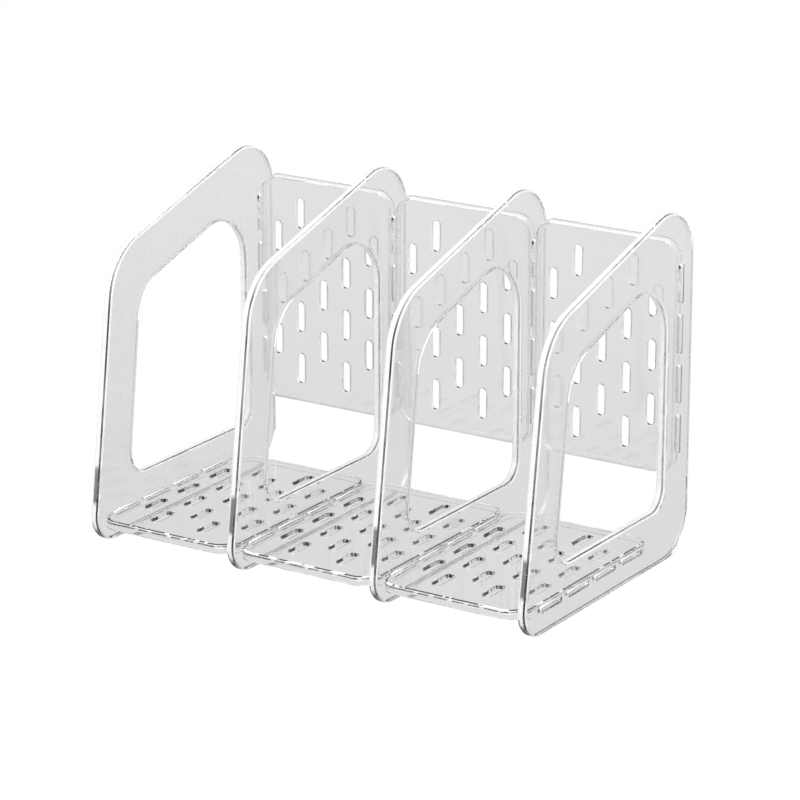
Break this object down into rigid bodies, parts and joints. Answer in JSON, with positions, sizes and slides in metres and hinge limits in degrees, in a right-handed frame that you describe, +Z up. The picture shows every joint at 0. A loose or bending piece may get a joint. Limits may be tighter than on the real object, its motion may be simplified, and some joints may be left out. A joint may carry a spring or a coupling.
{
  "type": "desktop file sorter",
  "caption": "Clear desktop file sorter: window-framed dividers in a row, joined by slotted base and back trays that press between them to form open compartments.",
  "frame": {"origin": "on the desk, at the bottom centre of the whole sorter's bounding box", "axes": "+X along the row of dividers, to the right as seen from the open front; +Y to the back, where the back panels are; +Z up"},
  "size_m": [0.297, 0.1836, 0.2082],
  "materials": {
    "left_end_divider": "clear, polished",
    "left_inner_divider": "clear, polished",
    "right_inner_divider": "clear, polished",
    "right_end_divider": "clear, polished",
    "left_base_panel": "clear, polished",
    "middle_base_panel": "clear, polished",
    "right_base_panel": "clear, polished",
    "left_back_panel": "clear, polished",
    "middle_back_panel": "clear, polished",
    "right_back_panel": "clear, polished"
  },
  "bodies": {
    "root": {"left_end_divider": "left_end_divider", "left_inner_divider": "left_inner_divider", "right_inner_divider": "right_inner_divider", "right_end_divider": "right_end_divider", "left_base_panel": "left_base_panel", "middle_base_panel": "middle_base_panel", "right_base_panel": "right_base_panel", "left_back_panel": "left_back_panel", "middle_back_panel": "middle_back_panel", "right_back_panel": "right_back_panel"}
  },
  "joints": []
}
